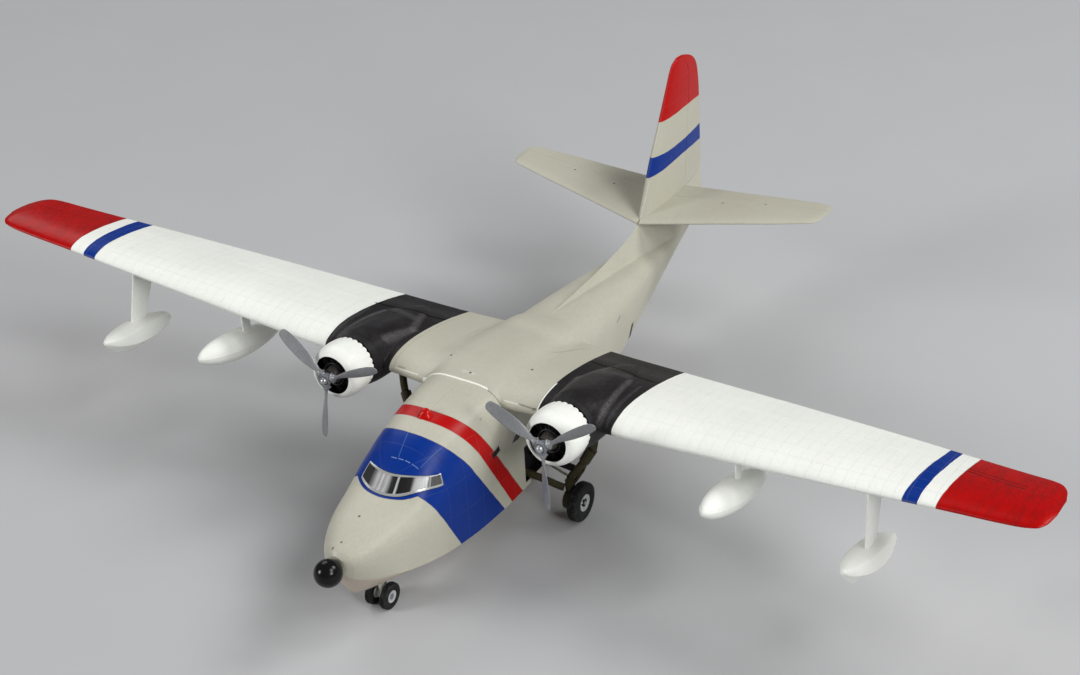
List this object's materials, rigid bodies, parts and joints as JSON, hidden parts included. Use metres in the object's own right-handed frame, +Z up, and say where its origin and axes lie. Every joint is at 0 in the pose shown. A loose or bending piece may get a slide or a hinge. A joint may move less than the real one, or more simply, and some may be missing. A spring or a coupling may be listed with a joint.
{
  "type": "model flying boat",
  "caption": "Painted plastic kit model of a twin-engined amphibious flying boat on its wheels, with wing floats, drop tanks, turning propellers and turning wheels.",
  "frame": {"origin": "on the ground under the middle of the model's box, between its wing tips and between nose and rudder", "axes": "+Z up, -Y towards the nose, +X towards the port wing tip"},
  "size_m": [0.4089, 0.263, 0.1116],
  "materials": {
    "grey_paint": "satin warm grey paint over moulded plastic, with fine raised panel lines",
    "white_paint": "satin white paint with brush marks, red, white and blue bands near the wing tips",
    "charcoal_paint": "matte charcoal paint, rubbed grey on its high places",
    "gloss_black_paint": "gloss black paint",
    "red_paint": "gloss red paint",
    "clear_plastic": "smoked clear plastic with a silvery painted frame",
    "engine_grey": "dark engine grey with worn high places",
    "propeller_grey": "mid grey metallic paint",
    "olive_paint": "dark olive paint",
    "gear_black": "black paint",
    "pale_grey_paint": "pale grey paint",
    "tyre_black": "black painted plastic tyre",
    "hub_grey": "pale grey painted hub"
  },
  "bodies": {
    "airframe": {"cowling_port": "white_paint", "cowling_starboard": "white_paint", "drop_tank_port": "white_paint", "drop_tank_starboard": "white_paint", "engine_port": "engine_grey", "engine_starboard": "engine_grey", "float_port": "white_paint", "float_starboard": "white_paint", "float_strut_port": "white_paint", "float_strut_starboard": "white_paint", "hull": "grey_paint", "main_arm_port": "olive_paint", "main_arm_starboard": "olive_paint", "main_beam_port": "gear_black", "main_beam_starboard": "gear_black", "main_leg_port": "olive_paint", "main_leg_starboard": "olive_paint", "main_rod_port": "pale_grey_paint", "main_rod_starboard": "pale_grey_paint", "nacelle_port": "charcoal_paint", "nacelle_starboard": "charcoal_paint", "nose_ball": "gloss_black_paint", "nose_leg": "pale_grey_paint", "roof_beacon": "red_paint", "tail_fin": "grey_paint", "tailplane_port": "grey_paint", "tailplane_starboard": "grey_paint", "tank_pylon_port": "white_paint", "tank_pylon_starboard": "white_paint", "windshield": "clear_plastic", "wing_centre": "grey_paint", "wing_port": "white_paint", "wing_starboard": "white_paint"},
    "propeller_port": {"propeller_port": "propeller_grey"},
    "propeller_starboard": {"propeller_starboard": "propeller_grey"},
    "main_wheel_port": {"main_hub_port": "hub_grey", "main_tyre_port": "tyre_black"},
    "main_wheel_starboard": {"main_hub_starboard": "hub_grey", "main_tyre_starboard": "tyre_black"},
    "nose_wheels": {"nose_axle": "pale_grey_paint", "nose_hub_port": "hub_grey", "nose_hub_starboard": "hub_grey", "nose_tyre_port": "tyre_black", "nose_tyre_starboard": "tyre_black"}
  },
  "joints": [
    {"name": "propeller_port_spin", "type": "hinge", "parent": "airframe", "child": "propeller_port", "pos_m": [0.043, -0.06534, 0.0557], "axis": [0, -0.9954, 0.0958], "continuous": true},
    {"name": "propeller_starboard_spin", "type": "hinge", "parent": "airframe", "child": "propeller_starboard", "pos_m": [-0.043, -0.06534, 0.0557], "axis": [0, -0.9954, 0.0958], "continuous": true},
    {"name": "main_wheel_port_spin", "type": "hinge", "parent": "airframe", "child": "main_wheel_port", "pos_m": [0.0352, -0.03024, 0.00725], "axis": [1, 0, 0], "continuous": true},
    {"name": "main_wheel_starboard_spin", "type": "hinge", "parent": "airframe", "child": "main_wheel_starboard", "pos_m": [-0.0352, -0.03024, 0.00725], "axis": [1, 0, 0], "continuous": true},
    {"name": "nose_wheels_spin", "type": "hinge", "parent": "airframe", "child": "nose_wheels", "pos_m": [0, -0.10124, 0.00475], "axis": [1, 0, 0], "continuous": true}
  ]
}
